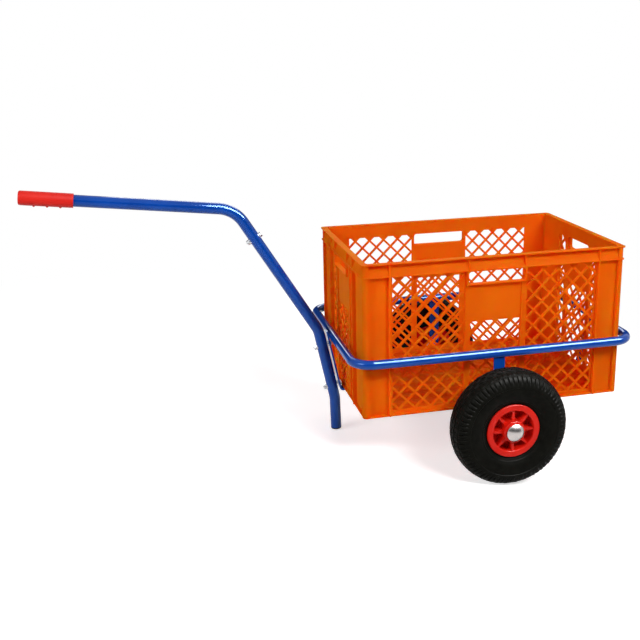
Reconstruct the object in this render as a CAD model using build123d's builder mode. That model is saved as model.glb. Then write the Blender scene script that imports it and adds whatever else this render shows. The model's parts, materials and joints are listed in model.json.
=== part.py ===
from build123d import *
import os
from math import asin, atan2, ceil, cos, degrees, floor, hypot, radians, sin, sqrt

# Hand cart: a lift-out lattice crate in a tube frame, on two air tyres and a parking leg.
# Millimetres. The cart is drawn level, with its handle at -X, its left side at -Y and the
# crate's underside at Z = 0. One placement at the end stands it on its tyres and its foot.

# Crate
crate_length = 600.0
crate_width = 400.0
crate_height = 340.0
crate_wall = 3.5
crate_floor = 3.5
rim_reach = 10.0
rim_thick = 2.5
rim_corner = 9.0
ridge_drop = 30.0
ridge_thick = 2.5
ridge_inset = 1.0
skirt_rise = 18.0
skirt_lip = 1.5
foot_inset = 4.0
rib_inset = 1.5
rib_thick = 3.3
post_inset = 3.0
post_wide = 13.0
post_round = 9.0
pilaster_wide = 12.0
pilaster_proud = 3.0

# Crate sides: ribs and strips from mid-side, hand holes, lattice
long_end_panel = 62.0
long_pilaster = 64.0
long_hand_hole = 130.0
short_end_panel = 92.0
short_pilaster = 58.0
short_hand_hole = 104.0
hand_hole_high = 27.0
hand_hole_round = 6.0
inside_round = 6.0
collar_wall = 3.0
label_high = 86.0
lattice_pitch = 36.0
lattice_bar = 5.0
lattice_rise = 30.0
lattice_edge = 1.0
lattice_rib_gap = 5.0
lattice_low = 12.0
lattice_top_gap = 2.0
lattice_least_hole = 30.0

# Frame: tube loop round the crate, flat bars under it
loop_tube = 20.0
loop_wall = 2.0
loop_play = 9.0
loop_height = 130.0
loop_bend = 45.0
loop_seam = 0.2
bar_wide = 25.0
bar_thick = 4.0
bar_bend = 7.0
bracket_top = 15.0
bracket_clear = 5.5
seat_gap = 0.3
weld_gap = 0.1

# Drawbar, leg and handle
draw_tube = 25.0
draw_wall = 2.0
saddle_gap = 2.3
knee_rise = 21.0
knee_bend = 60.0
slope_angle = 58.4
slope_length = 339.0
leg_drop = 17.0
leg_lean = 1.6
leg_length = 78.4
handle_rise = 6.5
handle_length = 440.0
handle_bend = 70.0
seam_from_bend = 128.0
seam_gap = 0.2
spigot_reach = 70.0
spigot_wall = 2.0
spigot_clear = 0.1
handle_bolt_from_seam = 50.0
plug_head = 4.0
plug_round = 3.0
plug_depth = 22.0
plug_clear = 0.1

# Grip
grip_length = 108.0
grip_wall = 2.4
grip_end = 5.0
grip_round = 4.0
grip_clear = 0.1
bump_count = 3
bump_pitch = 26.0
bump_first = 31.0
bump_radius = 2.5
bump_wide = 12.0

# Bolts and washers
bolt_shank = 6.0
bolt_flats = 10.0
bolt_head = 4.0
bolt_tail = 1.5
nut_high = 5.0
thread_clear = 0.05
hole_clear = 0.2
washer_diameter = 12.0
washer_crown = 1.5
washer_clear = 0.05
bolt_loop_gap = 2.0
lower_bolt_rise = 14.0

# Wheels and axle
axle_diameter = 20.0
tyre_radius = 128.0
tyre_width = 78.0
tyre_loop_gap = 8.0
tyre_side = 5.0
tyre_tread = 9.0
widest_drop = 35.0
shoulder_drop = 12.0
shoulder_inset = 5.5
groove_deep = 4.0
groove_wide = 5.0
groove_place = 12.0
notch_count = 36
notch_drop = 17.0
notch_high = 14.0
notch_wide = 4.0
notch_deep = 6.5
flange_rise = 9.5
flange_inset = 7.5
flange_thick = 4.5
flange_round = 2.0
flange_gap = 1.5
barrel_radius = 49.5
barrel_wall = 4.0
bead_wide = 8.0
bead_gap = 0.3
web_half = 5.0
rim_rib_count = 8
rim_rib_thick = 3.5
rim_rib_root = 9.0
rim_rib_inset = 4.0
hub_inset = 1.5
hub_wall = 10.0
bearing_wall = 4.0
bearing_inset = 7.5
bearing_fit = 0.05
running_clear = 0.05
hub_gap = 0.3
hub_washer_edge = 7.0
hub_washer_thick = 2.0
collar_edge = 6.0
collar_wide = 10.0
cap_reach = 9.0
cap_rise = 9.0
cap_edge = 1.5
cap_sheet = 1.2
axle_tail = 4.0
tube_wall = 2.0
tube_gap = 0.5
tube_slack = 10.0
valve_diameter = 8.0
valve_offset = 12.0
valve_gap = 6.0
valve_root = 5.0

# Places in the level frame
wall_x = crate_length / 2 - rim_reach
wall_y = crate_width / 2 - rim_reach
rib_x = crate_length / 2 - rib_inset
rib_y = crate_width / 2 - rib_inset
post_x = crate_length / 2 - post_inset
post_y = crate_width / 2 - post_inset
long_divider = crate_length / 2 - long_end_panel
short_divider = crate_width / 2 - short_end_panel
ridge_low = crate_height - ridge_drop
rim_low = crate_height - rim_thick
lattice_high = ridge_low - lattice_top_gap
hand_hole_low = ridge_low - lattice_edge - hand_hole_high
label_low = hand_hole_low - label_high

loop_radius = loop_tube / 2
draw_radius = draw_tube / 2
axle_radius = axle_diameter / 2
loop_x = crate_length / 2 + loop_play + loop_radius
loop_y = crate_width / 2 + loop_play + loop_radius
bar_middle = -seat_gap - bar_thick / 2
axle_z = bar_middle - bar_thick / 2 - weld_gap - axle_radius
side_half = tyre_width / 2
wheel_y = loop_y + loop_radius + tyre_loop_gap + side_half
hub_half = side_half - hub_inset

# Lean of the brackets: their back touches the loop and passes the crate's foot
foot_back = loop_x - crate_length / 2 + foot_inset
bracket_step = loop_radius + weld_gap - bracket_clear
lean = atan2(foot_back, loop_height) + asin(bracket_step / hypot(foot_back, loop_height))
forward = Vector(-cos(lean), 0, -sin(lean))
upward = Vector(-sin(lean), 0, cos(lean))
loop_front = Vector(-loop_x, 0, loop_height)
bar_forward = loop_radius + weld_gap + bar_thick / 2
bracket_front = bar_forward + bar_thick / 2
draw_forward = bracket_front + saddle_gap + draw_radius
bracket_corner = (bar_middle - loop_height + sin(lean) * bar_forward) / cos(lean)


# Point in the bracket's own frame, measured from the loop's front tube
def on_bracket(out, up):
    return loop_front + forward * out + upward * up


# Drawbar's corners, from the foot up to the grip
leg_down = Vector(sin(radians(leg_lean)), 0, -cos(radians(leg_lean)))
leg_front = Vector(-cos(radians(leg_lean)), 0, -sin(radians(leg_lean)))
slope_up = Vector(-cos(radians(slope_angle)), 0, sin(radians(slope_angle)))
slope_top = Vector(sin(radians(slope_angle)), 0, cos(radians(slope_angle)))
handle_out = Vector(-cos(radians(handle_rise)), 0, sin(radians(handle_rise)))
knee = on_bracket(draw_forward, knee_rise)
ankle = on_bracket(draw_forward, bracket_corner - leg_drop)
foot = ankle + leg_down * leg_length
shoulder = knee + slope_up * slope_length
seam = shoulder - slope_up * seam_from_bend
grip_tip = shoulder + handle_out * handle_length
across = Vector(0, 1, 0)


# Diamonds of one lattice panel, cut from one pattern that runs over the whole side.
# Slivers left at the panel's edge, with an area under the least hole, stay closed.
def lattice(side, left, right, low, high):
    opening = lattice_pitch / sqrt(2) - lattice_bar
    first = floor((left - lattice_pitch) / lattice_pitch)
    last = ceil((right + lattice_pitch) / lattice_pitch)
    rows = ceil((high - lattice_rise) / lattice_pitch) + 1
    centres = []
    for column in range(first, last + 1):
        for row in range(-1, rows + 1):
            for half in (0, lattice_pitch / 2):
                centres.append((column * lattice_pitch + half, lattice_rise + row * lattice_pitch + half))
    with BuildSketch(side) as diamonds:
        with Locations(*centres):
            Rectangle(opening, opening, rotation=45)
        with Locations(((left + right) / 2, (low + high) / 2)):
            Rectangle(right - left, high - low, mode=Mode.INTERSECT)
    return [face for face in diamonds.sketch.faces() if face.area > lattice_least_hole]


# All the openings of one pair of opposite sides: lattice beside and below the hand hole
def side_openings(side, divider, pilaster, hand_hole):
    inner = pilaster + pilaster_wide / 2 + lattice_edge
    outer = divider - rib_thick / 2 - lattice_rib_gap
    below = pilaster - pilaster_wide / 2 - lattice_edge
    holes = lattice(side, -outer, -inner, lattice_low, lattice_high)
    holes += lattice(side, -below, below, lattice_low, label_low)
    holes += lattice(side, inner, outer, lattice_low, lattice_high)
    with BuildSketch(side) as grip_slot:
        with Locations((0, hand_hole_low + hand_hole_high / 2)):
            RectangleRounded(hand_hole, hand_hole_high, hand_hole_round)
    return holes + list(grip_slot.sketch.faces())


long_side = Plane.XZ.offset(-crate_width / 2)
short_side = Plane.YZ.offset(-crate_length / 2)
long_openings = side_openings(long_side, long_divider, long_pilaster, long_hand_hole)
short_openings = side_openings(short_side, short_divider, short_pilaster, short_hand_hole)
collar_low = hand_hole_low - collar_wall
skirt_low = ridge_low + ridge_thick
skirt_inset = ridge_inset + skirt_lip

# Crate: ribs, strips and plates run right across, then the inside is taken out
with BuildPart() as crate:
    with BuildSketch():
        Rectangle(2 * wall_x, 2 * wall_y)
    extrude(amount=crate_height)
    with BuildSketch():
        RectangleRounded(crate_length - 2 * foot_inset, crate_width - 2 * foot_inset, rim_corner)
    extrude(amount=crate_floor)
    with BuildSketch(Plane.XY.offset(ridge_low)):
        RectangleRounded(crate_length - 2 * ridge_inset, crate_width - 2 * ridge_inset, rim_corner)
    extrude(amount=ridge_thick)
    with BuildSketch(Plane.XY.offset(rim_low)):
        RectangleRounded(crate_length, crate_width, rim_corner)
    extrude(amount=rim_thick)
    with BuildSketch(Plane.XY.offset(skirt_low)):
        RectangleRounded(crate_length - 2 * skirt_inset, crate_width - 2 * skirt_inset, rim_corner)
    with BuildSketch(Plane.XY.offset(skirt_low + skirt_rise)):
        RectangleRounded(2 * wall_x, 2 * wall_y, rim_corner)
    loft(ruled=True)
    with BuildSketch():
        RectangleRounded(2 * post_x, 2 * post_y, post_round)
        Rectangle(2 * (post_x - post_wide), 2 * post_y, mode=Mode.SUBTRACT)
        Rectangle(2 * post_x, 2 * (post_y - post_wide), mode=Mode.SUBTRACT)
        with Locations((-long_divider, 0), (long_divider, 0)):
            Rectangle(rib_thick, 2 * rib_y)
        with Locations((0, -short_divider), (0, short_divider)):
            Rectangle(2 * rib_x, rib_thick)
    extrude(amount=rim_low)
    with BuildSketch():
        with Locations((-long_pilaster, 0), (long_pilaster, 0)):
            Rectangle(pilaster_wide, 2 * (wall_y + pilaster_proud))
        with Locations((0, -short_pilaster), (0, short_pilaster)):
            Rectangle(2 * (wall_x + pilaster_proud), pilaster_wide)
    extrude(amount=ridge_low)
    with BuildSketch(Plane.XY.offset(ridge_low)):
        with Locations((-long_pilaster, 0), (long_pilaster, 0)):
            Rectangle(rib_thick, 2 * rib_y)
        with Locations((0, -short_pilaster), (0, short_pilaster)):
            Rectangle(2 * rib_x, rib_thick)
    extrude(amount=rim_low - ridge_low)
    with BuildSketch(Plane.XZ.offset(-rib_y)):
        with Locations((0, (collar_low + ridge_low) / 2)):
            Rectangle(long_hand_hole + 2 * collar_wall, ridge_low - collar_low)
    extrude(amount=2 * rib_y)
    with BuildSketch(Plane.YZ.offset(-rib_x)):
        with Locations((0, (collar_low + ridge_low) / 2)):
            Rectangle(short_hand_hole + 2 * collar_wall, ridge_low - collar_low)
    extrude(amount=2 * rib_x)
    with BuildSketch(Plane.XY.offset(crate_floor)):
        RectangleRounded(2 * (wall_x - crate_wall), 2 * (wall_y - crate_wall), inside_round)
    extrude(amount=crate_height, mode=Mode.SUBTRACT)
    extrude(long_openings, amount=crate_width, mode=Mode.SUBTRACT)
    extrude(short_openings, amount=crate_length, mode=Mode.SUBTRACT)


# Round tube along straight runs and bends
def round_tube(points, bend, diameter, wall):
    with BuildPart() as tube:
        with BuildLine():
            route = FilletPolyline(*points, radius=bend)
        with BuildSketch(Plane(route @ 0, z_dir=route % 0)):
            Circle(diameter / 2)
            Circle(diameter / 2 - wall, mode=Mode.SUBTRACT)
        sweep(path=route)
    return tube.part


# Flat bar along straight runs and bends, with its broad face along the given direction
def flat_bar(points, broad):
    with BuildPart() as bar:
        with BuildLine():
            route = FilletPolyline(*points, radius=bar_bend)
        with BuildSketch(Plane(route @ 0, x_dir=broad, z_dir=route % 0)):
            Rectangle(bar_wide, bar_thick)
        sweep(path=route)
    return bar.part


# Loop: one bent tube, its two ends meeting at a seam in the middle of the rear run
loop_points = [
    (loop_x, loop_seam / 2, loop_height),
    (loop_x, loop_y, loop_height),
    (-loop_x, loop_y, loop_height),
    (-loop_x, -loop_y, loop_height),
    (loop_x, -loop_y, loop_height),
    (loop_x, -loop_seam / 2, loop_height),
]
with BuildPart() as frame_loop:
    add(round_tube(loop_points, loop_bend, loop_tube, loop_wall))

# Cradle: a strut down from each long run of the loop, joined under the crate
strut_top = loop_height - loop_radius - weld_gap
cradle_points = [
    (0, -loop_y, strut_top),
    (0, -loop_y, bar_middle),
    (0, loop_y, bar_middle),
    (0, loop_y, strut_top),
]
with BuildPart() as cross_cradle:
    add(flat_bar(cradle_points, (1, 0, 0)))

# Bolts between drawbar and bracket: one under the loop, one above the bracket's bend
bolt_corner = bolt_flats / sqrt(3)
upper_bolt = -(loop_radius + bolt_corner + bolt_loop_gap)
lower_bolt = bracket_corner + lower_bolt_rise
bolt_rows = (upper_bolt, lower_bolt)
hole_radius = bolt_shank / 2 + hole_clear


# Plane square to the bolts of the bracket, at a distance in front of the loop
def bolt_plane(out, up):
    return Plane(on_bracket(out, up), x_dir=across, z_dir=forward)


bracket_points = [
    on_bracket(bar_forward, bracket_top),
    on_bracket(bar_forward, bracket_corner),
    (-bar_wide / 2 - weld_gap, 0, bar_middle),
]
bracket_bar = flat_bar(bracket_points, across)

with BuildPart() as front_bracket:
    add(bracket_bar)
    for row in bolt_rows:
        with BuildSketch(bolt_plane(loop_radius, row)):
            Circle(hole_radius)
        extrude(amount=2 * bar_thick, mode=Mode.SUBTRACT)

with BuildPart() as rear_bracket:
    add(bracket_bar.mirror(Plane.YZ))

# Drawbar tube: parking leg, shank bolted to the bracket, knee, slope up to the seam
drawbar_points = [foot - leg_down * plug_head, ankle, knee, seam - slope_up * (seam_gap / 2)]
with BuildPart() as drawbar_tube:
    add(round_tube(drawbar_points, knee_bend, draw_tube, draw_wall))
    for row in bolt_rows:
        with BuildSketch(bolt_plane(draw_forward - draw_tube, row)):
            Circle(hole_radius)
        extrude(amount=2 * draw_tube, mode=Mode.SUBTRACT)

# Handle tube: slope above the seam, shoulder bend, long top run into the grip
handle_bolt_spot = seam + slope_up * handle_bolt_from_seam
handle_points = [seam + slope_up * (seam_gap / 2), shoulder, grip_tip - handle_out * grip_end]
handle_bolt_base = Plane(handle_bolt_spot - slope_top * draw_tube, x_dir=across, z_dir=slope_top)
with BuildPart() as handle_tube:
    add(round_tube(handle_points, handle_bend, draw_tube, draw_wall))
    with BuildSketch(handle_bolt_base):
        Circle(hole_radius)
    extrude(amount=2 * draw_tube, mode=Mode.SUBTRACT)

# Spigot inside both tubes at the seam
spigot_radius = draw_radius - draw_wall - spigot_clear
spigot_base = Plane(seam - slope_up * spigot_reach, x_dir=across, z_dir=slope_up)
with BuildPart() as joint_spigot:
    with BuildSketch(spigot_base):
        Circle(spigot_radius)
        Circle(spigot_radius - spigot_wall, mode=Mode.SUBTRACT)
    extrude(amount=2 * spigot_reach)
    with BuildSketch(handle_bolt_base):
        Circle(hole_radius)
    extrude(amount=2 * draw_tube, mode=Mode.SUBTRACT)

# Plug in the leg's lower end, with a rounded head to stand on
plug_base = Plane(foot, x_dir=across, z_dir=-leg_down)
with BuildPart() as foot_plug:
    with BuildSketch(plug_base):
        Circle(draw_radius)
    extrude(amount=plug_head)
    fillet(foot_plug.edges().sort_by(Axis(foot, leg_down))[-1], plug_round)
    with BuildSketch(plug_base.offset(plug_head)):
        Circle(draw_radius - draw_wall - plug_clear)
    extrude(amount=plug_depth)

# Grip: closed sleeve over the handle tube, with finger bumps below
grip_radius = draw_radius + grip_clear + grip_wall
grip_base = Plane(grip_tip, x_dir=across, z_dir=-handle_out)
grip_under = Vector(-sin(radians(handle_rise)), 0, -cos(radians(handle_rise)))
with BuildPart() as handle_grip:
    with BuildSketch(grip_base):
        Circle(grip_radius)
    extrude(amount=grip_length)
    for bump in range(bump_count):
        along = grip_tip - handle_out * (bump_first + bump * bump_pitch)
        bump_middle = along + grip_under * (grip_radius - bump_radius / 2)
        with BuildSketch(Plane(bump_middle - across * (bump_wide / 2), x_dir=handle_out, z_dir=across)):
            Circle(bump_radius)
        extrude(amount=bump_wide)
    fillet(handle_grip.edges().sort_by(Axis(grip_tip, handle_out))[-1], grip_round)
    with BuildSketch(grip_base.offset(grip_end)):
        Circle(draw_radius + grip_clear)
    extrude(amount=grip_length, mode=Mode.SUBTRACT)


# Bolts, nuts and cup washers, made square to a plane that points along the bolt
def hex_bolt(seat, length):
    with BuildPart() as bolt:
        with BuildSketch(seat):
            RegularPolygon(bolt_flats / 2, 6, major_radius=False)
        extrude(amount=-bolt_head)
        with BuildSketch(seat):
            Circle(bolt_shank / 2)
        extrude(amount=length)
    return bolt.part


def hex_nut(seat):
    with BuildPart() as nut:
        with BuildSketch(seat):
            RegularPolygon(bolt_flats / 2, 6, major_radius=False)
            Circle(bolt_shank / 2 + thread_clear, mode=Mode.SUBTRACT)
        extrude(amount=nut_high)
    return nut.part


# Washer that is flat at the given plane and hollowed to the tube whose axis lies beyond it
def cup_washer(flat, depth, tube_middle, tube_along):
    with BuildPart() as cup:
        with BuildSketch(flat):
            Circle(washer_diameter / 2)
            Circle(hole_radius, mode=Mode.SUBTRACT)
        extrude(amount=depth)
        with BuildSketch(Plane(tube_middle - tube_along * washer_diameter, x_dir=across, z_dir=tube_along)):
            Circle(draw_radius + washer_clear)
        extrude(amount=2 * washer_diameter, mode=Mode.SUBTRACT)
    return cup.part


cup_sag = draw_radius - sqrt(draw_radius**2 - (washer_diameter / 2) ** 2)
nut_forward = draw_forward + draw_radius + washer_crown
bolt_reach = nut_forward + nut_high + bolt_tail - (loop_radius + weld_gap)

with BuildPart() as drawbar_bolts:
    for row in bolt_rows:
        add(hex_bolt(bolt_plane(loop_radius + weld_gap, row), bolt_reach))

with BuildPart() as drawbar_nuts:
    for row in bolt_rows:
        add(hex_nut(bolt_plane(nut_forward, row)))

with BuildPart() as drawbar_saddles:
    for row in bolt_rows:
        middle = on_bracket(draw_forward, row)
        add(cup_washer(bolt_plane(bracket_front, row), saddle_gap + cup_sag, middle, upward))

with BuildPart() as drawbar_washers:
    for row in bolt_rows:
        middle = on_bracket(draw_forward, row)
        face = Plane(on_bracket(nut_forward, row), x_dir=across, z_dir=-forward)
        add(cup_washer(face, washer_crown + cup_sag, middle, upward))

handle_seat = draw_radius + washer_crown
handle_head = Plane(handle_bolt_spot + slope_top * handle_seat, x_dir=across, z_dir=-slope_top)
handle_tail = Plane(handle_bolt_spot - slope_top * handle_seat, x_dir=across, z_dir=-slope_top)
with BuildPart() as handle_bolt:
    add(hex_bolt(handle_head, 2 * handle_seat + nut_high + bolt_tail))

with BuildPart() as handle_nut:
    add(hex_nut(handle_tail))

with BuildPart() as handle_washers:
    for way in (1, -1):
        spot = handle_bolt_spot + slope_top * (way * handle_seat)
        face = Plane(spot, x_dir=across, z_dir=slope_top * -way)
        add(cup_washer(face, washer_crown + cup_sag, handle_bolt_spot, slope_up))

# Axle under the cradle, with a stop collar inboard of each wheel
washer_out = hub_half + hub_gap
stop_out = washer_out + hub_washer_thick + weld_gap
axle_half = wheel_y + stop_out + axle_tail
with BuildPart() as axle:
    with BuildSketch(Plane.XZ.offset(-axle_half)):
        with Locations((0, axle_z)):
            Circle(axle_radius)
    extrude(amount=2 * axle_half)

with BuildPart() as axle_collars:
    for start in (wheel_y - stop_out, collar_wide - (wheel_y - stop_out)):
        with BuildSketch(Plane.XZ.offset(-start)):
            with Locations((0, axle_z)):
                Circle(axle_radius + collar_edge)
                Circle(axle_radius + running_clear, mode=Mode.SUBTRACT)
        extrude(amount=collar_wide)

# Wheel pieces, drawn about the Y axis with the outside at +Y
barrel_inside = barrel_radius - barrel_wall
flange_radius = barrel_radius + flange_rise
flange_face = side_half - flange_inset
flange_back = flange_face - flange_thick
bearing_radius = axle_radius + bearing_wall
bearing_half = hub_half - bearing_inset
hub_bore = bearing_radius + bearing_fit
hub_boss = bearing_radius + hub_wall
rim_outline = [
    (hub_bore, 0),
    (hub_bore, hub_half),
    (hub_boss, hub_half),
    (hub_boss, web_half),
    (barrel_inside, web_half),
    (barrel_inside, flange_face),
    (flange_radius, flange_face),
    (flange_radius, flange_back),
    (barrel_radius, flange_back),
    (barrel_radius, 0),
]
rim_rounds = [0, 0, flange_round, flange_round, flange_round, flange_round, flange_round, 0, 0, 0]
valve_turn = 180 / rim_rib_count
valve_out = Vector(sin(radians(valve_turn)), 0, cos(radians(valve_turn)))
valve_middle = Vector(0, -valve_offset, 0)

with BuildPart() as rim:
    with BuildSketch():
        with BuildLine():
            FilletPolyline(*rim_outline, radius=rim_rounds, close=True)
        make_face()
        mirror(about=Plane.XZ)
    revolve(axis=Axis.Y)
    rib_half = flange_face - rim_rib_inset
    with BuildSketch(Plane.XZ.offset(-rib_half)):
        with PolarLocations(0, rim_rib_count, start_angle=90):
            Polygon(
                (hub_bore + hub_wall / 2, -rim_rib_root / 2),
                (barrel_inside + barrel_wall / 2, -rim_rib_thick / 2),
                (barrel_inside + barrel_wall / 2, rim_rib_thick / 2),
                (hub_bore + hub_wall / 2, rim_rib_root / 2),
                align=None,
            )
    extrude(amount=2 * rib_half)
    with BuildSketch(Plane(valve_middle + valve_out * hub_boss, x_dir=across, z_dir=valve_out)):
        Circle(valve_diameter / 2 + hole_clear)
    extrude(amount=barrel_radius, mode=Mode.SUBTRACT)

# Tyre: open carcass with beads inside the rim's flanges
bead_radius = barrel_radius + bead_gap
bead_half = flange_back - bead_gap
crown_inside = tyre_radius - tyre_tread
side_foot = flange_radius + flange_gap
tyre_widest = tyre_radius - widest_drop
tyre_shoulder = tyre_radius - shoulder_drop
shoulder_half = side_half - shoulder_inset
with BuildPart() as tyre:
    with BuildSketch():
        with BuildLine():
            Line((bead_radius, bead_half), (side_foot, bead_half))
            TangentArc((tyre_widest, side_half), (side_foot, bead_half), tangent=(-1, 0))
            TangentArc((tyre_widest, side_half), (tyre_shoulder, shoulder_half), tangent=(1, 0))
            TangentArc((tyre_radius, 0), (tyre_shoulder, shoulder_half), tangent=(0, 1))
            Line((tyre_radius, 0), (crown_inside, 0))
            TangentArc((crown_inside, 0), (tyre_widest, side_half - tyre_side), tangent=(0, 1))
            TangentArc(
                (tyre_widest, side_half - tyre_side),
                (side_foot, bead_half - bead_wide),
                tangent=(-1, 0),
            )
            Line((side_foot, bead_half - bead_wide), (bead_radius, bead_half - bead_wide))
            Line((bead_radius, bead_half - bead_wide), (bead_radius, bead_half))
        make_face()
        mirror(about=Plane.XZ)
    revolve(axis=Axis.Y)
    with BuildSketch():
        with Locations((tyre_radius, -groove_place), (tyre_radius, groove_place)):
            Rectangle(2 * groove_deep, groove_wide)
    revolve(axis=Axis.Y, mode=Mode.SUBTRACT)
    for outside, turn in ((1, 0), (-1, 180 / notch_count)):
        with BuildSketch(Plane.XZ.offset(-outside * side_half)):
            with PolarLocations(tyre_radius - notch_drop, notch_count, start_angle=turn):
                Rectangle(notch_high, notch_wide)
        extrude(amount=outside * notch_deep, mode=Mode.SUBTRACT)

# Inner tube between tyre and rim, opened where its valve goes in
tube_low = barrel_radius + tube_gap
tube_high = crown_inside - tube_gap
tube_rise = (tube_high - tube_low) / 2
tube_half = side_half - tyre_side - tube_slack
with BuildPart() as inner_tube:
    with BuildSketch():
        with Locations(((tube_low + tube_high) / 2, 0)):
            Ellipse(tube_rise, tube_half)
            Ellipse(tube_rise - tube_wall, tube_half - tube_wall, mode=Mode.SUBTRACT)
    revolve(axis=Axis.Y)
    with BuildSketch(Plane(valve_middle + valve_out * barrel_radius, x_dir=across, z_dir=valve_out)):
        Circle(valve_diameter / 2 + hole_clear)
    extrude(amount=tube_rise / 2, mode=Mode.SUBTRACT)

# Valve stem from the inner tube into a pocket on the wheel's inner face
valve_low = hub_boss + valve_gap
with BuildPart() as valve:
    with BuildSketch(Plane(valve_middle + valve_out * valve_low, x_dir=across, z_dir=valve_out)):
        Circle(valve_diameter / 2)
    extrude(amount=tube_low + valve_root - valve_low)

# Bearing in the hub, running on the axle
with BuildPart() as bearing:
    with BuildSketch(Plane.XZ.offset(-bearing_half)):
        Circle(bearing_radius)
        Circle(axle_radius + running_clear, mode=Mode.SUBTRACT)
    extrude(amount=2 * bearing_half)

# Thrust washers at both ends of the hub
with BuildPart() as hub_washers:
    for face in (washer_out + hub_washer_thick, -washer_out):
        with BuildSketch(Plane.XZ.offset(-face)):
            Circle(axle_radius + hub_washer_edge)
            Circle(axle_radius + hole_clear, mode=Mode.SUBTRACT)
        extrude(amount=hub_washer_thick)

# Domed cap pushed on the axle's end
cap_radius = axle_radius + cap_reach
dome_foot = stop_out + cap_edge
dome_top = stop_out + cap_rise
with BuildPart() as axle_cap:
    with BuildSketch():
        with BuildLine():
            TangentArc((0, dome_top), (cap_radius, dome_foot), tangent=(1, 0))
            Line((cap_radius, dome_foot), (cap_radius, stop_out))
            Line((cap_radius, stop_out), (axle_radius + running_clear, stop_out))
            Line((axle_radius + running_clear, stop_out), (axle_radius + running_clear, dome_foot))
            Line((axle_radius + running_clear, dome_foot), (cap_radius - cap_sheet, dome_foot))
            TangentArc((0, dome_top - cap_sheet), (cap_radius - cap_sheet, dome_foot), tangent=(1, 0))
            Line((0, dome_top - cap_sheet), (0, dome_top))
        make_face()
    revolve(axis=Axis.Y)

pieces = {
    "crate": crate.part,
    "frame_loop": frame_loop.part,
    "cross_cradle": cross_cradle.part,
    "front_bracket": front_bracket.part,
    "rear_bracket": rear_bracket.part,
    "axle": axle.part,
    "axle_collars": axle_collars.part,
    "drawbar_tube": drawbar_tube.part,
    "foot_plug": foot_plug.part,
    "handle_tube": handle_tube.part,
    "joint_spigot": joint_spigot.part,
    "handle_grip": handle_grip.part,
    "drawbar_bolts": drawbar_bolts.part,
    "drawbar_nuts": drawbar_nuts.part,
    "drawbar_saddles": drawbar_saddles.part,
    "drawbar_washers": drawbar_washers.part,
    "handle_bolt": handle_bolt.part,
    "handle_nut": handle_nut.part,
    "handle_washers": handle_washers.part,
}
wheel_pieces = {
    "tyre": tyre.part,
    "rim": rim.part,
    "inner_tube": inner_tube.part,
    "valve": valve.part,
    "bearing": bearing.part,
    "hub_washers": hub_washers.part,
    "axle_cap": axle_cap.part,
}
wheel_places = {
    "left": Location((0, -wheel_y, axle_z), (0, 0, 180)),
    "right": Location((0, wheel_y, axle_z)),
}
for hand, place in wheel_places.items():
    for name, piece in wheel_pieces.items():
        pieces[f"{hand}_{name}"] = place * piece

# Parked stance: nose down until the plug's rounded edge and both tyres touch the ground
edge_middle = foot + leg_front * (draw_radius - plug_round) - leg_down * plug_round
edge_drop = axle_z - edge_middle.Z
edge_reach = hypot(edge_middle.X, edge_drop)
tilt = asin((tyre_radius - plug_round) / edge_reach) - atan2(edge_drop, -edge_middle.X)
turned = {name: Rot(0, -degrees(tilt), 0) * piece for name, piece in pieces.items()}
box = Compound(list(turned.values())).bounding_box()
stand = Pos(-box.center().X, 0, tyre_radius - axle_z * cos(tilt))

os.makedirs("parts", exist_ok=True)
for name, piece in turned.items():
    placed = stand * piece
    placed.label = name
    export_step(placed, f"parts/{name}.step")
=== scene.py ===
import bmesh
import bpy
import json
from math import asin, atan2, cos, pi, radians, sin, sqrt, tau
from mathutils import Matrix, Vector


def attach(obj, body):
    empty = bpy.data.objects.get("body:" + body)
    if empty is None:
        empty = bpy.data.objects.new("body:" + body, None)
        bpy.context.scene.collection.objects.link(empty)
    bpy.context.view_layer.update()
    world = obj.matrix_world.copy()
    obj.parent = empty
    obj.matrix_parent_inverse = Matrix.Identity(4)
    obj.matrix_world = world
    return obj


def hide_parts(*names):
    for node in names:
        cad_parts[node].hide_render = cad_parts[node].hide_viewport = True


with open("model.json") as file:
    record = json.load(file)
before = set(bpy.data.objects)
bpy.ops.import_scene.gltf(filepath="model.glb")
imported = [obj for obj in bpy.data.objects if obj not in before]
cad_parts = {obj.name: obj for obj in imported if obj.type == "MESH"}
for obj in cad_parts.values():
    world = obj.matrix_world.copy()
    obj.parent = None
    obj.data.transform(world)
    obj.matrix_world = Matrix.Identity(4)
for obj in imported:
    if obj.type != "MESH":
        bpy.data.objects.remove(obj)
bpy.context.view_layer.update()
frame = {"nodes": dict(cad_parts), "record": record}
record = frame["record"]
bodyOf = {node: body for body, nodes in record["behaviour"]["bodies"].items() for node in nodes}
slotOf = {part["node"]: part["material_slot"] for part in record["subparts"]}
jointOf = {joint["name"]: joint for joint in record["behaviour"]["joints"]}
print("frame loaded:", len(frame["nodes"]), "nodes")

scene = bpy.context.scene
scene.view_settings.view_transform = "Standard"
mmPerMetre = 1000

# The cart is parked nose down on its foot. Level places are turned and lifted by this.
wheelSpots = {side: Vector(jointOf[side + "_wheel_spin"]["pos_m"]) for side in ("left", "right")}
axleMiddle = Vector((wheelSpots["left"].x, 0, wheelSpots["left"].z))
axleDrop = 0.0144  # m, from the crate's underside down to the middle of the axle
crateUp = Vector(jointOf["crate_lift"]["axis"])
parked = (Matrix.Translation(axleMiddle) @ Matrix.Rotation(asin(crateUp.x), 4, "Y")
          @ Matrix.Translation((0, 0, axleDrop)))


# sRGB hex to the linear values that shaders take
def linear(code):
    channels = [int(code[i:i + 2], 16) / 255 for i in (1, 3, 5)]
    return [c / 12.92 if c <= 0.04045 else ((c + 0.055) / 1.055) ** 2.4 for c in channels] + [1]


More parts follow.
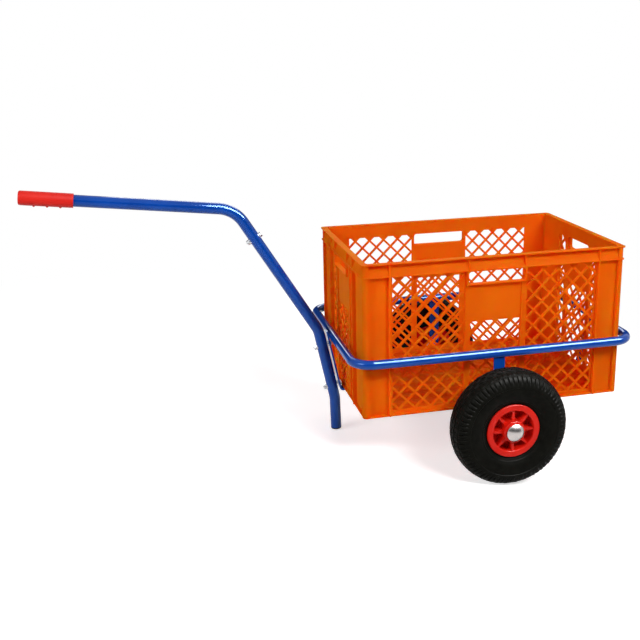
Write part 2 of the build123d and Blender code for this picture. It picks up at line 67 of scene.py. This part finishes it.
# One node with its settings, socket values and incoming links
def addNode(tree, kind, values=(), links=(), **settings):
    node = tree.nodes.new(kind)
    for name, value in settings.items():
        setattr(node, name, value)
    for socket, value in dict(values).items():
        node.inputs[socket].default_value = value
    for socket, source in dict(links).items():
        tree.links.new(source, node.inputs[socket])
    return node


# What the patterns share: the detail of both noises, and where the two colours sit on the mottle
pattern = {"mottleDetail": 4, "grainDetail": 2, "stops": (0.3, 0.7)}


# A surface with a slow mottle in colour, and a fine grain in relief and gloss. Sizes are in mm, on
# coordinates in metres. Grain under about 1 mm wouldn't show, so finer grain is drawn that coarse.
def surface(name, recipe):
    material = bpy.data.materials.new(name)
    material.use_nodes = True
    tree = material.node_tree
    shader = tree.nodes["Principled BSDF"]
    for socket, value in recipe["shader"].items():
        shader.inputs[socket].default_value = value
    place = addNode(tree, "ShaderNodeTexCoord").outputs["Object"]
    mottle = addNode(tree, "ShaderNodeTexNoise",
                     {"Scale": mmPerMetre / recipe["mottleMm"], "Detail": pattern["mottleDetail"]},
                     {"Vector": place}).outputs["Fac"]
    grain = addNode(tree, "ShaderNodeTexNoise",
                    {"Scale": mmPerMetre / recipe["grainMm"], "Detail": pattern["grainDetail"]},
                    {"Vector": place}).outputs["Fac"]
    ramp = addNode(tree, "ShaderNodeValToRGB", links={"Fac": mottle})
    for stop, position, code in zip(ramp.color_ramp.elements, pattern["stops"], recipe["colours"]):
        stop.position = position
        stop.color = linear(code)
    colour = ramp.outputs["Color"]
    # Painted shade: light bounced off this surface takes the redder bounce colour in place of its own
    if "bounce" in recipe:
        bounced = addNode(tree, "ShaderNodeLightPath").outputs["Is Diffuse Ray"]
        colour = addNode(tree, "ShaderNodeMixRGB", {"Color2": linear(recipe["bounce"])},
                         {"Fac": bounced, "Color1": colour}).outputs["Color"]
    smooth, rough = recipe["roughness"]
    gloss = addNode(tree, "ShaderNodeMapRange", {"To Min": smooth, "To Max": rough}, {"Value": grain})
    relief = addNode(tree, "ShaderNodeBump",
                     {"Strength": recipe["relief"], "Distance": recipe["grainMm"] / mmPerMetre},
                     {"Height": grain})
    tree.links.new(colour, shader.inputs["Base Color"])
    tree.links.new(gloss.outputs["Result"], shader.inputs["Roughness"])
    tree.links.new(relief.outputs["Normal"], shader.inputs["Normal"])
    return material


finishes = {
    # Polypropylene, injection moulded: even colour, satin, faint flow marks. Light that sinks in comes
    # out redder. Painted shade: light that bounces between the walls is drawn in a redder colour than the
    # surface, so shaded corners glow red.
    "orange_plastic": surface("polypropyleneOrange", {
        "colours": ("#d46108", "#da6b0a"), "bounce": "#ff300a",
        "mottleMm": 90, "grainMm": 1.6, "relief": 0.03, "roughness": (0.5, 0.6), "shader": {
            "IOR": 1.49, "Specular IOR Level": 0.005, "Subsurface Weight": 1,
            "Subsurface Radius": (1, 0.08, 0.02), "Subsurface Scale": 0.012}}),
    # Powder coat on steel: glossy skin with a trace of orange peel, lamps show as crisp lines
    "blue_paint": surface("powderCoatBlue", {
        "colours": ("#083c96", "#0c46a6"),
        "mottleMm": 60, "grainMm": 4.0, "relief": 0.0008, "roughness": (0.05, 0.09), "shader": {
            "IOR": 1.5, "Specular IOR Level": 0.5, "Specular Tint": (0.32, 0.55, 1, 1)}}),
    # Soft vinyl, dip moulded: satin, slightly waxy
    "red_grip": surface("vinylRed", {
        "colours": ("#d41c13", "#e0271a"),
        "mottleMm": 25, "grainMm": 1.2, "relief": 0.04, "roughness": (0.34, 0.46),
        "shader": {"IOR": 1.53, "Specular IOR Level": 0.16}}),
    # Polypropylene rim, moulded glossy
    "red_rim": surface("polypropyleneRed", {
        "colours": ("#cc160a", "#d81e0e"),
        "mottleMm": 40, "grainMm": 1.4, "relief": 0.03, "roughness": (0.2, 0.3),
        "shader": {"IOR": 1.49, "Specular IOR Level": 0.16}}),
    # Carbon black rubber, moulded: almost black, dull, with small glints on the edges of the tread
    "tyre_rubber": surface("rubberTread", {
        "colours": ("#090906", "#11110d"),
        "mottleMm": 14, "grainMm": 1.0, "relief": 0.08, "roughness": (0.36, 0.52),
        "shader": {"IOR": 1.52, "Specular IOR Level": 0.03}}),
    # Butyl rubber of the inner tubes and their valves: smooth, black
    "tube_rubber": surface("rubberButyl", {
        "colours": ("#101010", "#191918"),
        "mottleMm": 20, "grainMm": 1.5, "relief": 0.05, "roughness": (0.45, 0.6),
        "shader": {"IOR": 1.52, "Specular IOR Level": 0.3}}),
    # Polyethylene plug, moulded: black, satin
    "black_plastic": surface("polyethyleneBlack", {
        "colours": ("#0d0e10", "#17181a"),
        "mottleMm": 18, "grainMm": 1.0, "relief": 0.06, "roughness": (0.42, 0.58),
        "shader": {"IOR": 1.51, "Specular IOR Level": 0.25}}),
    # Zinc plated steel: bright grey with a faint crystal mottle
    "zinc_steel": surface("zincPlate", {
        "colours": ("#b9bcbf", "#d4d6d8"),
        "mottleMm": 4, "grainMm": 0.9, "relief": 0.05, "roughness": (0.24, 0.36),
        "shader": {"Metallic": 1}}),
}
# Pressed cap, nickel bright: shows the room as a blurred picture
capSteel = surface("brightNickel", {
    "colours": ("#aca7a5", "#bcb7b4"),
    "mottleMm": 12, "grainMm": 1.5, "relief": 0.004, "roughness": (0.22, 0.28),
    "shader": {"Metallic": 1}})
print("finishes ready:", len(finishes) + 1)


# Turns a bmesh into an object of the scene
def addMesh(bm, name, material):
    mesh = bpy.data.meshes.new(name)
    bm.to_mesh(mesh)
    bm.free()
    mesh.materials.append(material)
    thing = bpy.data.objects.new(name, mesh)
    scene.collection.objects.link(thing)
    return thing


# Turns a bmesh into a piece that stands for a CAD node, shaded smooth up to an angle in degrees
def finishPiece(bm, name, node, material, softAngle=32):
    for face in bm.faces:
        face.smooth = True
    for edge in bm.edges:
        edge.smooth = len(edge.link_faces) == 2 and edge.calc_face_angle(pi) < radians(softAngle)
    piece = addMesh(bm, name, material)
    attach(piece, bodyOf[node])
    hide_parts(node)
    return piece


# Small round on the edges of a piece that are sharper than an angle in degrees
def roundEdges(piece, width, segments=2, angle=30):
    bevel = piece.modifiers.new("edges", "BEVEL")
    bevel.width = width
    bevel.segments = segments
    bevel.limit_method = "ANGLE"
    bevel.angle_limit = radians(angle)


# Lattice of the crate's floor, in metres: diamonds sunk between bars, flush with the flat floor.
# The flat faces are those within near of its top that look up by at least upright. Cells smaller
# than leastCell of a diamond stay flat.
floorLattice = {
    "top": 0.0035, "near": 0.0002, "upright": 0.99,
    "pitch": 0.036, "bar": 0.005, "sink": 0.0024, "rows": 14, "leastCell": 0.3, "snap": 0.000001,
}


def sinkFloor(bm):
    bmesh.ops.transform(bm, matrix=parked.inverted(), verts=bm.verts)
    step = floorLattice["pitch"] / sqrt(2)
    faces = [face for face in bm.faces if face.normal.z > floorLattice["upright"]
             and abs(face.calc_center_median().z - floorLattice["top"]) < floorLattice["near"]]
    for side in (-1, 1):
        across = Vector((1, side, 0)).normalized()
        for row in range(-floorLattice["rows"], floorLattice["rows"]):
            edges = list({edge for face in faces for edge in face.edges})
            corners = list({vert for face in faces for vert in face.verts})
            through = across * (row + 0.5) * step  # half a step off, to centre a diamond
            cut = bmesh.ops.bisect_plane(bm, geom=faces + edges + corners, dist=floorLattice["snap"],
                                         plane_co=through, plane_no=across)
            faces = [item for item in cut["geom"] if isinstance(item, bmesh.types.BMFace)]
    cells = [face for face in faces if face.calc_area() > floorLattice["leastCell"] * step * step]
    bmesh.ops.inset_individual(bm, faces=cells, thickness=floorLattice["bar"] / 2,
                               depth=-floorLattice["sink"], use_even_offset=True)
    bmesh.ops.transform(bm, matrix=parked, verts=bm.verts)
    print("floor lattice:", len(cells), "diamonds")


# Rounded edges in metres for the nodes that keep their CAD shape
edgeRounds = {
    "crate": 0.0005, "frame_loop": 0.0003, "cross_cradle": 0.0006, "front_bracket": 0.0006,
    "rear_bracket": 0.0006, "axle": 0.0005, "axle_collars": 0.0005, "drawbar_tube": 0.0004,
    "foot_plug": 0.0004, "handle_tube": 0.0004, "handle_grip": 0.0006, "drawbar_bolts": 0.0004,
    "drawbar_nuts": 0.0004, "drawbar_saddles": 0.0002, "drawbar_washers": 0.0002, "handle_bolt": 0.0004,
    "handle_nut": 0.0004, "handle_washers": 0.0002, "left_hub_washers": 0.0003,
    "right_hub_washers": 0.0003, "left_rim": 0.001, "right_rim": 0.001,
    "left_axle_cap": 0.0003, "right_axle_cap": 0.0003,
}
# A CAD mesh is loose triangles: corners this near in metres merge, faces this flat in degrees join
joined = {"near": 0.000002, "flat": 0.4}


# A node's own shape with merged faces, to carry rounded edges and smooth shading
def dressNode(node, edge):
    bm = bmesh.new()
    bm.from_mesh(frame["nodes"][node].data)
    bmesh.ops.remove_doubles(bm, verts=bm.verts, dist=joined["near"])
    bmesh.ops.dissolve_limit(bm, angle_limit=radians(joined["flat"]), verts=bm.verts, edges=bm.edges)
    if node == "crate":
        sinkFloor(bm)
    words = node.split("_")
    name = words[0] + "".join(word.capitalize() for word in words[1:])
    material = capSteel if node.endswith("axle_cap") else finishes[slotOf[node]]
    roundEdges(finishPiece(bm, name, node, material), edge)


for node, edge in edgeRounds.items():
    dressNode(node, edge)
print("pieces from the frame dressed:", len(edgeRounds))

# Every CAD mesh gets its finish, because nothing replaces the pieces hidden inside
for node, slot in slotOf.items():
    mesh = frame["nodes"][node].data
    mesh.materials.clear()
    mesh.materials.append(finishes[slot])

# Tyre, in mm: half of its section from the crown over the outside to the bead and back inside. Each
# row is a radius and an offset, and on the tread also the cuts there, how far they sink, and the
# swing of a groove. The other rows are plain.
tyre = {
    "section": [
        (125.8, 0, "", 0, 2), (125.8, 1.4, "", 0, 2), (128.0, 2.2, "", 0, 2), (127.9, 4.5, "crown", 1.6, 1),
        (127.6, 7.5, "crown", 1.6, -1), (127.3, 9.6, "", 0, -1.8), (125.0, 10.3, "", 0, -1.8),
        (124.8, 13.0, "", 0, -1.8), (126.4, 13.7, "", 0, -1.8), (125.7, 17.0, "inner", 1.6, -0.8),
        (124.6, 20.5, "inner", 1.8, 0), (123.4, 23.2, "", 0, 0.8), (121.6, 23.9, "", 0, 0.8),
        (121.0, 25.8, "", 0, 0.8), (121.5, 26.6, "shoulder", 1.2, 0.8), (119.8, 29.2, "shoulder", 2.6, 0),
        (117.4, 31.8, "shoulder", 3, 0), (114.2, 34.3, "shoulder", 3, 0), (110.6, 35.9, "shoulder", 2.4, 0),
        (107.2, 36.9, "shoulder", 1.2, 0), (104.0, 37.6), (98.8, 38.6), (98.0, 37.5), (93.0, 38.1),
        (85.0, 37.4), (78.0, 35.8), (73.0, 33.8), (71.4, 33.0), (70.6, 33.4), (68.4, 32.3), (67.6, 31.0),
        (64.5, 29.4), (62.5, 28.4), (60.5, 26.7), (49.8, 26.7), (49.8, 18.7), (60.5, 18.7), (72.0, 28.6),
        (93.0, 34.0), (108.0, 25.0), (119.0, 0),
    ],
    "plain": ("", 0, 0),
    "pitches": 36, "stepsPerPitch": 12,
    "cuts": {"": (), "crown": (2, 8), "inner": (5, 11), "shoulder": (0, 1, 6)},  # steps that sink
    "heart": 93,  # cuts sink towards this radius, mid-tyre
    "turned": {"left": pi, "right": 0},  # about the upright, so that both outsides are alike
    "weld": 0.01, "softAngle": 28,
    "edge": 0.3, "edgeSegments": 1, "edgeAngle": 40,
}


def makeTyre(side):
    perPitch = tyre["stepsPerPitch"]
    steps = tyre["pitches"] * perPitch
    half = [(row[0] / mmPerMetre, row[1] / mmPerMetre) for row in tyre["section"]]
    ring = half + [(r, -w) for r, w in reversed(half[1:-1])]
    bm = bmesh.new()
    corners = [bm.verts.new((0, w, r)) for r, w in ring]
    loop = [bm.edges.new((a, b)) for a, b in zip(corners, corners[1:] + corners[:1])]
    bmesh.ops.spin(bm, geom=corners + loop, axis=(0, 1, 0), cent=(0, 0, 0), angle=tau, steps=steps,
                   use_merge=True, use_duplicate=False)
    bmesh.ops.remove_doubles(bm, verts=bm.verts, dist=tyre["weld"] / mmPerMetre)
    bmesh.ops.recalc_face_normals(bm, faces=bm.faces)
    # The pattern: grooves zigzag, cuts sink, and the far half is turned by half a pitch
    treadOf = {row[:2]: row[2:] or tyre["plain"] for row in tyre["section"]}
    for vert in bm.verts:
        radius, offset = vert.co.xz.length, vert.co.y
        cut, sink, swing = treadOf[round(radius * mmPerMetre, 1), round(abs(offset) * mmPerMetre, 1)]
        step = round(atan2(vert.co.x, vert.co.z) / tau * steps)
        zigzag = asin(sin(tau * step / perPitch)) * 2 / pi  # from -1 to 1 in straight lines
        vert.co.y += swing / mmPerMetre * zigzag
        if offset < 0:
            step += perPitch // 2
        if step % perPitch in tyre["cuts"][cut]:
            inward = Vector((tyre["heart"] / mmPerMetre - radius, -offset)).normalized() * sink / mmPerMetre
            scale = (radius + inward.x) / radius
            vert.co = (vert.co.x * scale, vert.co.y + inward.y, vert.co.z * scale)
    place = Matrix.Translation(wheelSpots[side]) @ Matrix.Rotation(tyre["turned"][side], 4, "Z")
    bmesh.ops.transform(bm, matrix=place, verts=bm.verts)
    piece = finishPiece(bm, side + "Tyre", side + "_tyre", finishes["tyre_rubber"], tyre["softAngle"])
    roundEdges(piece, tyre["edge"] / mmPerMetre, tyre["edgeSegments"], tyre["edgeAngle"])


for side in wheelSpots:
    makeTyre(side)
print("tyres made")

# Camera at the photograph's place, in metres and degrees of the level frame, then parked with the cart
camera = {
    "lens": 52.9, "shift": (-0.06, -0.0656), "clipStart": 0.05,
    "azimuth": -14.073, "elevation": 15.181, "roll": -0.646,
    "place": (-0.756676, -1.996946, 0.817978),
}


def makeCamera():
    turn, rise, roll = (radians(camera[key]) for key in ("azimuth", "elevation", "roll"))
    back = Vector((sin(turn) * cos(rise), -cos(turn) * cos(rise), sin(rise)))
    right = (-back).cross(Vector((0, 0, 1))).normalized()
    up = right.cross(-back)
    rolledRight = right * cos(roll) + up * sin(roll)
    rolledUp = up * cos(roll) - right * sin(roll)
    data = bpy.data.cameras.new("photoCamera")
    data.lens = camera["lens"]
    data.shift_x, data.shift_y = camera["shift"]
    data.clip_start = camera["clipStart"]
    eye = bpy.data.objects.new("photoCamera", data)
    axes = Matrix((rolledRight, rolledUp, back)).transposed().to_4x4()
    eye.matrix_world = parked @ Matrix.Translation(camera["place"]) @ axes
    scene.collection.objects.link(eye)
    scene.camera = eye


makeCamera()
print("camera placed")

# Soft studio light: place, aim and size in metres, power in watts. The key comes from the front right,
# the fill from the left, a weak one from behind. The glint lights nothing and only shows in gloss.
lamps = {
    "key": {"place": (1.2, -2.3, 2.6), "aim": (0.3, -0.1, 0.3), "size": (1.5, 0.9), "power": 92},
    "glint": {"place": (1.1, -1.0, 2.0), "aim": (1.1, -0.33, 0.3), "size": (2.4, 0.8), "power": 340},
    "fill": {"place": (-3.0, -1.6, 1.6), "aim": (0, 0, 0.3), "size": (1.5, 1.2), "power": 66},
    "back": {"place": (0.5, 3.0, 2.2), "aim": (0.1, 0, 0.3), "size": (2.0, 1.4), "power": 48},
}
for name, lamp in lamps.items():
    data = bpy.data.lights.new(name, "AREA")
    data.shape = "RECTANGLE"
    data.size, data.size_y = lamp["size"]
    data.energy = lamp["power"]
    light = bpy.data.objects.new(name, data)
    light.location = lamp["place"]
    light.rotation_euler = (Vector(lamp["aim"]) - Vector(lamp["place"])).to_track_quat("-Z", "Y").to_euler()
    light.visible_camera = False
    light.visible_diffuse = name != "glint"
    scene.collection.objects.link(light)
print("lamps hung:", len(lamps))


# 1 for what the camera sees, straight or in gloss and glass, and 0 for light on its way to a surface
def seenByCamera(tree):
    path = addNode(tree, "ShaderNodeLightPath").outputs
    seen = path["Is Camera Ray"]
    for kind in ("Is Glossy Ray", "Is Transmission Ray"):
        seen = addNode(tree, "ShaderNodeMath", links={0: seen, 1: path[kind]},
                       operation="MAXIMUM").outputs["Value"]
    return seen


# White room: plain light for the object, white for the camera and in reflections
room = {"colour": "#ffffff", "light": 0.06, "white": 1.0}
world = bpy.data.worlds.new("studio")
scene.world = world
world.use_nodes = True
tree = world.node_tree
background = tree.nodes["Background"]
background.inputs["Color"].default_value = linear(room["colour"])
strength = addNode(tree, "ShaderNodeMapRange", {"To Min": room["light"], "To Max": room["white"]},
                   {"Value": seenByCamera(tree)})
tree.links.new(strength.outputs["Result"], background.inputs["Strength"])

# Pale paper floor, in metres: it keeps the shadow and clears to white away from the cart. Its glow
# lifts it for the camera only, and the light that it throws back is that of a greyer paper.
floor = {
    "half": 8.0, "squares": 8, "colour": "#e4e4e4", "bounce": "#c4c4c4", "glow": 0.62, "white": 1.0,
    "middle": (0.15, 0, 0), "clearFrom": 0.75, "clearTo": 1.5,
}
paper = bpy.data.materials.new("paperFloor")
paper.use_nodes = True
tree = paper.node_tree
tree.nodes.remove(tree.nodes["Principled BSDF"])
spot = addNode(tree, "ShaderNodeTexCoord").outputs["Object"]
away = addNode(tree, "ShaderNodeVectorMath", {1: floor["middle"]}, {0: spot}, operation="DISTANCE")
clear = addNode(tree, "ShaderNodeMapRange", {"From Min": floor["clearFrom"], "From Max": floor["clearTo"]},
                {"Value": away.outputs["Value"]}, interpolation_type="SMOOTHSTEP")
matt = addNode(tree, "ShaderNodeBsdfDiffuse", {"Color": linear(floor["colour"])})
dim = addNode(tree, "ShaderNodeBsdfDiffuse", {"Color": linear(floor["bounce"])})
glow = addNode(tree, "ShaderNodeEmission", {"Strength": floor["glow"]})
white = addNode(tree, "ShaderNodeEmission", {"Strength": floor["white"]})
lifted = addNode(tree, "ShaderNodeAddShader", links={0: matt.outputs["BSDF"], 1: glow.outputs["Emission"]})
shown = addNode(tree, "ShaderNodeMixShader", links={
    0: clear.outputs["Result"], 1: lifted.outputs["Shader"], 2: white.outputs["Emission"]})
mixed = addNode(tree, "ShaderNodeMixShader", links={
    0: seenByCamera(tree), 1: dim.outputs["BSDF"], 2: shown.outputs["Shader"]})
tree.links.new(mixed.outputs["Shader"], tree.nodes["Material Output"].inputs["Surface"])
bm = bmesh.new()
bmesh.ops.create_grid(bm, x_segments=floor["squares"], y_segments=floor["squares"], size=floor["half"])
ground = addMesh(bm, "floor", paper)

# Dark ends of the studio, in metres, behind the camera and behind the cart, seen only in reflections
darkSide = {"width": 16.0, "height": 3.4, "away": (-5.0, 5.0), "colour": "#3c3f44", "roughness": 1.0}
cloth = bpy.data.materials.new("blackCurtain")
cloth.use_nodes = True
weave = cloth.node_tree.nodes["Principled BSDF"]
weave.inputs["Base Color"].default_value = linear(darkSide["colour"])
weave.inputs["Roughness"].default_value = darkSide["roughness"]
bm = bmesh.new()
for away in darkSide["away"]:
    corners = bmesh.ops.create_grid(bm, x_segments=1, y_segments=1, size=0.5)["verts"]  # a unit square
    bmesh.ops.scale(bm, vec=(darkSide["width"], darkSide["height"], 1), verts=corners)
    bmesh.ops.rotate(bm, cent=(0, 0, 0), matrix=Matrix.Rotation(pi / 2, 3, "X"), verts=corners)
    bmesh.ops.translate(bm, vec=(0, away, darkSide["height"] / 2), verts=corners)
curtain = addMesh(bm, "darkSide", cloth)
curtain.visible_camera = False
curtain.visible_diffuse = False
curtain.visible_shadow = False
print("stage set")
